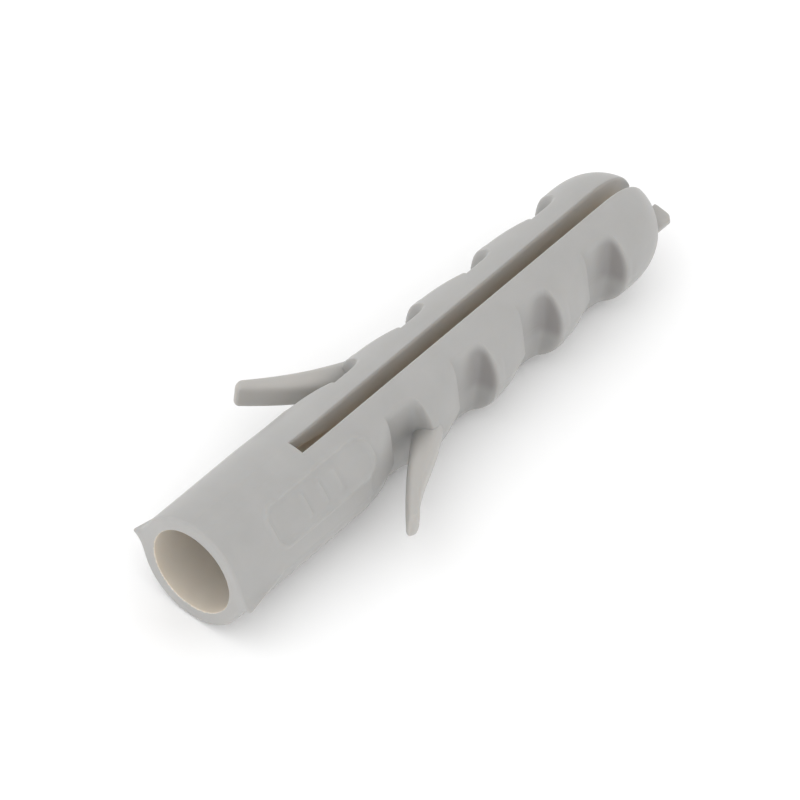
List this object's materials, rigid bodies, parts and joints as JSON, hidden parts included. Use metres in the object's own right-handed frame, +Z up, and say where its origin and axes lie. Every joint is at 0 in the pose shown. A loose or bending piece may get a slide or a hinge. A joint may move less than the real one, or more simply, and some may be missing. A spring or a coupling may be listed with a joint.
{
  "type": "wall anchor",
  "caption": "Expansion wall plug with a plain screw sleeve, slit toothed legs that spread, and springy side barbs that stop it turning in the hole",
  "frame": {"origin": "centre of the mouth, on the plug's axis and in the plane of the mouth face", "axes": "+X from the mouth to the tip, +Z up through the slit, +Y to the left-hand leg and barb"},
  "size_m": [0.04, 0.0144, 0.0074],
  "materials": {
    "nylon": "fine moulded, semi-matte light grey nylon"
  },
  "bodies": {
    "sleeve": {"neck_sleeve": "nylon"},
    "left_leg": {"leg_left": "nylon"},
    "right_leg": {"leg_right": "nylon"},
    "left_barb": {"barb_left": "nylon"},
    "right_barb": {"barb_right": "nylon"}
  },
  "joints": [
    {"name": "leg_left_spread", "type": "hinge", "parent": "sleeve", "child": "left_leg", "pos_m": [0.0086, 0.00325, 0], "axis": [0, 0, 1], "range_deg": [-0.8, 3.5], "stiffness_Nm_per_rad": 1.5},
    {"name": "leg_right_spread", "type": "hinge", "parent": "sleeve", "child": "right_leg", "pos_m": [0.0086, -0.00325, 0], "axis": [0, 0, -1], "range_deg": [-0.8, 3.5], "stiffness_Nm_per_rad": 1.5},
    {"name": "barb_left_fold", "type": "hinge", "parent": "left_leg", "child": "left_barb", "pos_m": [0.0157, 0.00375, 0], "axis": [0, 0, 1], "range_deg": [0, 24], "stiffness_Nm_per_rad": 0.08},
    {"name": "barb_right_fold", "type": "hinge", "parent": "right_leg", "child": "right_barb", "pos_m": [0.0157, -0.00375, 0], "axis": [0, 0, -1], "range_deg": [0, 24], "stiffness_Nm_per_rad": 0.08}
  ],
  "couplings": [
    {"joint": "leg_right_spread", "follows": "leg_left_spread", "ratio": 1}
  ]
}
